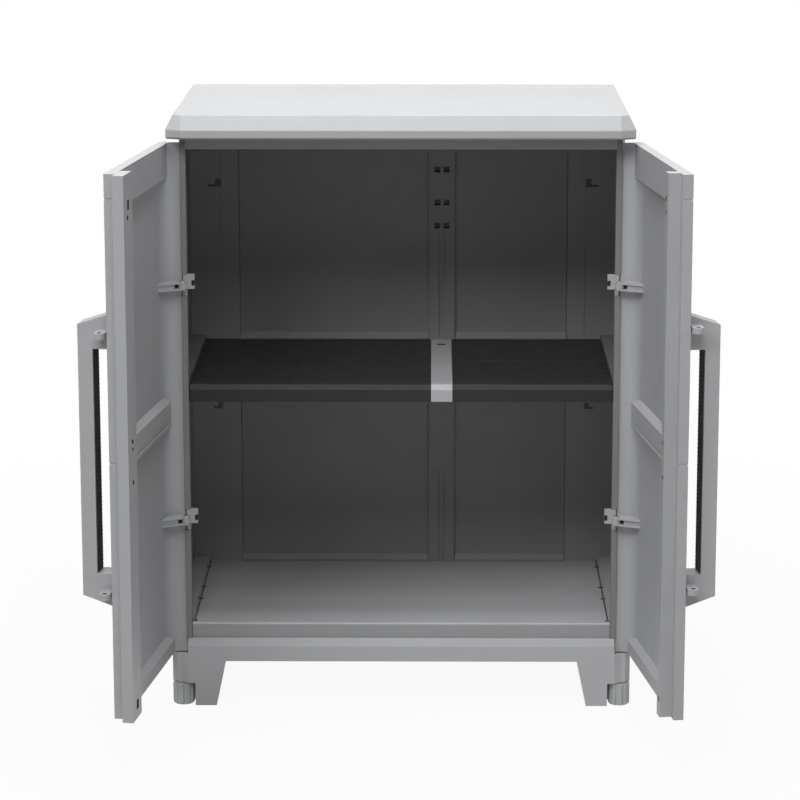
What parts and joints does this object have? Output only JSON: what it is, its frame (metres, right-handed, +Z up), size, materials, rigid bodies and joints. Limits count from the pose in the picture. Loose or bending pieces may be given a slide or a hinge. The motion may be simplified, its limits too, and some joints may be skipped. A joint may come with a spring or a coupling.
{
  "type": "plastic storage cabinet",
  "caption": "Low plastic storage cabinet with hinged doors, long upright handles, a fixed shelf, a legged plinth and levelling feet, shown with its doors open.",
  "frame": {"origin": "on the ground, under the centre of the top panel's rectangle", "axes": "+Z up, +Y towards the back, so the doors open towards -Y, +X to the right as seen from the front"},
  "size_m": [0.8846, 0.7124, 0.897],
  "materials": {
    "grey_plastic": "fine moulded grain",
    "jamb_plastic": "fine moulded grain",
    "dark_panel_plastic": "fine moulded grain",
    "shelf_plastic": "fine moulded grain",
    "shelf_bar_plastic": "fine moulded grain",
    "foot_plastic": "smooth moulded",
    "grip_rubber": "soft matt",
    "hinge_steel": "zinc plated"
  },
  "bodies": {
    "carcass": {"top_panel": "grey_plastic", "plinth": "grey_plastic", "floor_panel": "grey_plastic", "left_upper_hinge_bracket": "grey_plastic", "left_lower_hinge_bracket": "grey_plastic", "right_upper_hinge_bracket": "grey_plastic", "right_lower_hinge_bracket": "grey_plastic", "left_jamb": "jamb_plastic", "right_jamb": "jamb_plastic", "top_front_rail": "jamb_plastic", "left_shelf_rail": "jamb_plastic", "right_shelf_rail": "jamb_plastic", "left_upper_side_panel": "dark_panel_plastic", "left_lower_side_panel": "dark_panel_plastic", "right_upper_side_panel": "dark_panel_plastic", "right_lower_side_panel": "dark_panel_plastic", "back_upper_left_panel": "dark_panel_plastic", "back_upper_right_panel": "dark_panel_plastic", "back_lower_left_panel": "dark_panel_plastic", "back_lower_right_panel": "dark_panel_plastic", "back_upper_post": "dark_panel_plastic", "back_lower_post": "dark_panel_plastic", "shelf_left_board": "shelf_plastic", "shelf_right_board": "shelf_plastic", "shelf_center_bar": "shelf_bar_plastic"},
    "left_door": {"left_door_shell": "grey_plastic", "left_door_frame": "grey_plastic", "left_handle": "grey_plastic", "left_grip": "grip_rubber", "left_hinge_pins": "hinge_steel"},
    "right_door": {"right_door_shell": "grey_plastic", "right_door_frame": "grey_plastic", "right_handle": "grey_plastic", "right_grip": "grip_rubber", "right_hinge_pins": "hinge_steel"},
    "left_foot": {"left_foot": "foot_plastic"},
    "right_foot": {"right_foot": "foot_plastic"}
  },
  "joints": [
    {"name": "left_door_hinge", "type": "hinge", "parent": "carcass", "child": "left_door", "pos_m": [-0.321, -0.1725, 0.465], "axis": [0, 0, 1], "range_deg": [0, 97.8]},
    {"name": "right_door_hinge", "type": "hinge", "parent": "carcass", "child": "right_door", "pos_m": [0.321, -0.1725, 0.465], "axis": [0, 0, -1], "range_deg": [0, 97.8]},
    {"name": "left_foot_screw", "type": "slide", "parent": "carcass", "child": "left_foot", "axis": [0, 0, 1], "range_m": [-0.012, 0]},
    {"name": "right_foot_screw", "type": "slide", "parent": "carcass", "child": "right_foot", "axis": [0, 0, 1], "range_m": [-0.012, 0]}
  ]
}
